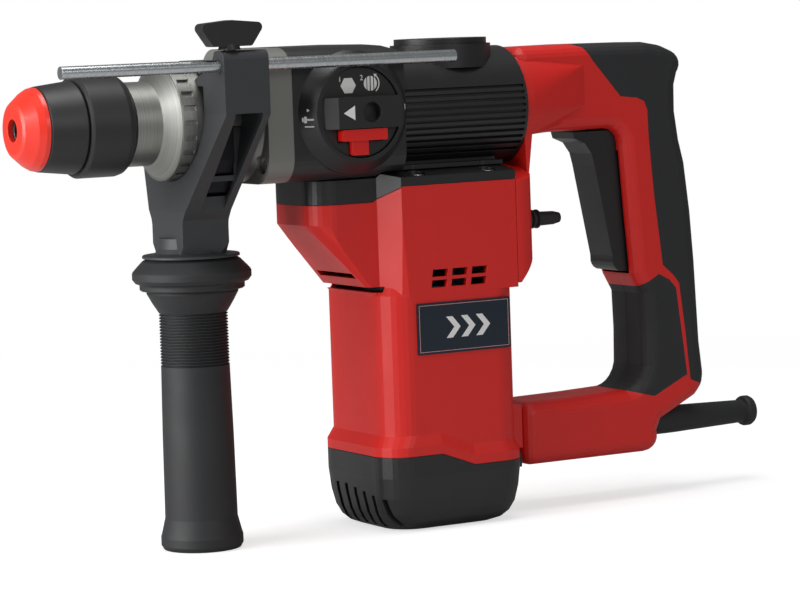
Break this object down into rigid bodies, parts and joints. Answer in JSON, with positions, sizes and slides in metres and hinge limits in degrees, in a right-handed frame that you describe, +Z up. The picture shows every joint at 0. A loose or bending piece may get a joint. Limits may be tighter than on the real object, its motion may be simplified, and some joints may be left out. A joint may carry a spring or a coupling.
{
  "type": "rotary hammer",
  "caption": "Upright-motor rotary hammer with keyless chuck, side handle with depth rod, mode selector dial, D-handle with trigger, full inner hammer mechanism and motor.",
  "frame": {"origin": "centre of the mouth of the tool socket, on the spindle's axis", "axes": "-X points out of the tool socket, +X runs back to the D-handle, +Z is up, away from the motor's foot, and the selector dial is on the -Y side"},
  "size_m": [0.4156, 0.0854, 0.2526],
  "materials": {
    "red_plastic": "satin",
    "red_cap": "glossy",
    "red_button": "glossy",
    "black_plastic": "satin",
    "grey_plastic": "matte",
    "grip_plastic": "matte",
    "black_rubber": "matte",
    "cast_metal": "satin",
    "tool_steel": "ground",
    "spring_steel": "bright",
    "black_oxide_steel": "black oxide",
    "light_alloy": "machined",
    "zinc_plate": "zinc plated",
    "bearing_steel": "polished",
    "sintered_bronze": "sintered",
    "copper_wire": "varnished",
    "brush_brass": "pressed",
    "carbon": "matte",
    "lamination_steel": "stacked sheets",
    "fan_nylon": "matte",
    "label_film": "printed film",
    "white_ink": "pad printed"
  },
  "bodies": {
    "tool": {"gearbox_neck": "cast_metal", "gearbox_housing": "black_plastic", "bearing_flange": "black_plastic", "housing_screws": "zinc_plate", "grease_cap": "black_plastic", "motor_housing": "red_plastic", "label_plate": "label_film", "end_cap": "black_plastic", "stator_core": "lamination_steel", "field_coils": "copper_wire", "brush_holders": "brush_brass", "carbon_brushes": "carbon", "motor_bearings": "bearing_steel", "gear_bushes": "sintered_bronze", "spindle_seal": "black_rubber", "spindle_bearing": "bearing_steel", "handle_left": "red_plastic", "handle_right": "red_plastic", "soft_back_grip": "black_rubber", "grip_panel_left": "black_rubber", "grip_panel_right": "black_rubber", "handle_screws": "zinc_plate", "trigger_pin": "zinc_plate", "switch_module": "black_plastic", "damper_block": "black_rubber", "rubber_stud": "black_rubber", "cord_sleeve": "black_rubber"},
    "rotor": {"armature_shaft": "tool_steel", "armature_core": "lamination_steel", "armature_windings": "copper_wire", "commutator": "copper_wire", "cooling_fan": "fan_nylon"},
    "crank": {"crankshaft": "tool_steel", "crank_gear": "tool_steel"},
    "rod": {"connecting_rod": "light_alloy", "wrist_pin": "tool_steel"},
    "layshaft": {"intermediate_gear": "tool_steel", "bevel_pinion": "tool_steel"},
    "spindle_group": {"spindle": "tool_steel", "front_collar": "black_plastic", "dust_cap": "red_cap", "bevel_ring_gear": "tool_steel", "sleeve_spring": "spring_steel", "locking_balls": "tool_steel"},
    "chuck_sleeve": {"locking_sleeve": "black_plastic"},
    "clutch": {"shift_sleeve": "tool_steel"},
    "striker_body": {"striker": "tool_steel"},
    "ram_body": {"flying_ram": "tool_steel", "ram_o_ring": "black_rubber"},
    "piston_body": {"piston": "light_alloy"},
    "dial": {"selector_dial": "black_plastic"},
    "button": {"lock_button": "red_button"},
    "side_handle": {"side_handle_yoke": "grey_plastic"},
    "clamp": {"clamp_band": "black_oxide_steel", "clamp_bolt": "spring_steel"},
    "grip": {"side_grip": "grip_plastic", "hand_guard": "black_plastic"},
    "stop_rod": {"depth_rod": "zinc_plate"},
    "thumb_screw": {"wing_screw": "black_plastic"},
    "trigger_body": {"trigger": "black_plastic"}
  },
  "joints": [
    {"name": "rotor_spin", "type": "hinge", "parent": "tool", "child": "rotor", "pos_m": [0.212, 0, -0.1], "axis": [0, 0, 1], "continuous": true},
    {"name": "crank_spin", "type": "hinge", "parent": "tool", "child": "crank", "pos_m": [0.229, 0, -0.03], "axis": [0, 0, 1], "continuous": true},
    {"name": "rod_pivot", "type": "hinge", "parent": "crank", "child": "rod", "pos_m": [0.235, 0, 0], "axis": [0, 0, 1], "continuous": true},
    {"name": "layshaft_spin", "type": "hinge", "parent": "tool", "child": "layshaft", "pos_m": [0.188, 0, -0.03], "axis": [0, 0, 1], "continuous": true},
    {"name": "spindle_spin", "type": "hinge", "parent": "tool", "child": "spindle_group", "pos_m": [0.09, 0, 0], "axis": [1, 0, 0], "continuous": true},
    {"name": "sleeve_pull", "type": "slide", "parent": "spindle_group", "child": "chuck_sleeve", "axis": [1, 0, 0], "range_m": [0, 0.007], "stiffness_N_per_m": 1200, "springref_m": -0.004, "deforming": ["sleeve_spring"]},
    {"name": "clutch_shift", "type": "slide", "parent": "spindle_group", "child": "clutch", "axis": [1, 0, 0], "range_m": [0, 0.0081]},
    {"name": "striker_slide", "type": "slide", "parent": "spindle_group", "child": "striker_body", "axis": [1, 0, 0], "range_m": [-0.004, 0.0018]},
    {"name": "ram_slide", "type": "slide", "parent": "spindle_group", "child": "ram_body", "axis": [1, 0, 0], "range_m": [-0.01, 0.01]},
    {"name": "piston_slide", "type": "slide", "parent": "tool", "child": "piston_body", "axis": [1, 0, 0], "range_m": [-0.012, 0]},
    {"name": "selector_turn", "type": "hinge", "parent": "tool", "child": "dial", "pos_m": [0.159, -0.04, 0.0015], "axis": [0, 1, 0], "range_deg": [0, 180]},
    {"name": "button_press", "type": "slide", "parent": "dial", "child": "button", "axis": [0, 1, 0], "range_m": [0, 0.0015], "stiffness_N_per_m": 400, "springref_m": -0.002},
    {"name": "side_handle_swing", "type": "hinge", "parent": "tool", "child": "side_handle", "pos_m": [0.0948, 0, 0], "axis": [1, 0, 0], "range_deg": [-180, 0]},
    {"name": "band_slide", "type": "slide", "parent": "side_handle", "child": "clamp", "axis": [0, 0, 1], "range_m": [0, 0.0026]},
    {"name": "grip_turn", "type": "hinge", "parent": "side_handle", "child": "grip", "pos_m": [0.0865, 0, -0.14], "axis": [0, 0, 1], "range_deg": [0, 720]},
    {"name": "rod_slide", "type": "slide", "parent": "side_handle", "child": "stop_rod", "axis": [1, 0, 0], "range_m": [-0.09, 0.07]},
    {"name": "thumb_turn", "type": "hinge", "parent": "side_handle", "child": "thumb_screw", "pos_m": [0.0888, -0.044, 0.036], "axis": [0, 0, 1], "range_deg": [0, 360]},
    {"name": "trigger_pull", "type": "hinge", "parent": "tool", "child": "trigger_body", "pos_m": [0.3295, 0, -0.02], "axis": [0, -1, 0], "range_deg": [0, 7], "stiffness_Nm_per_rad": 1.5, "springref_deg": -6.88}
  ],
  "couplings": [
    {"joint": "crank_spin", "follows": "rotor_spin", "ratio": -0.25926},
    {"joint": "rod_pivot", "follows": "rotor_spin", "ratio": 0.25926},
    {"joint": "layshaft_spin", "follows": "rotor_spin", "ratio": -0.17073},
    {"joint": "spindle_spin", "follows": "rotor_spin", "ratio": 0.058873},
    {"joint": "clutch_shift", "follows": "selector_turn", "m_per_rad": 0.0025465},
    {"joint": "band_slide", "follows": "grip_turn", "m_per_rad": 0.00019894}
  ]
}
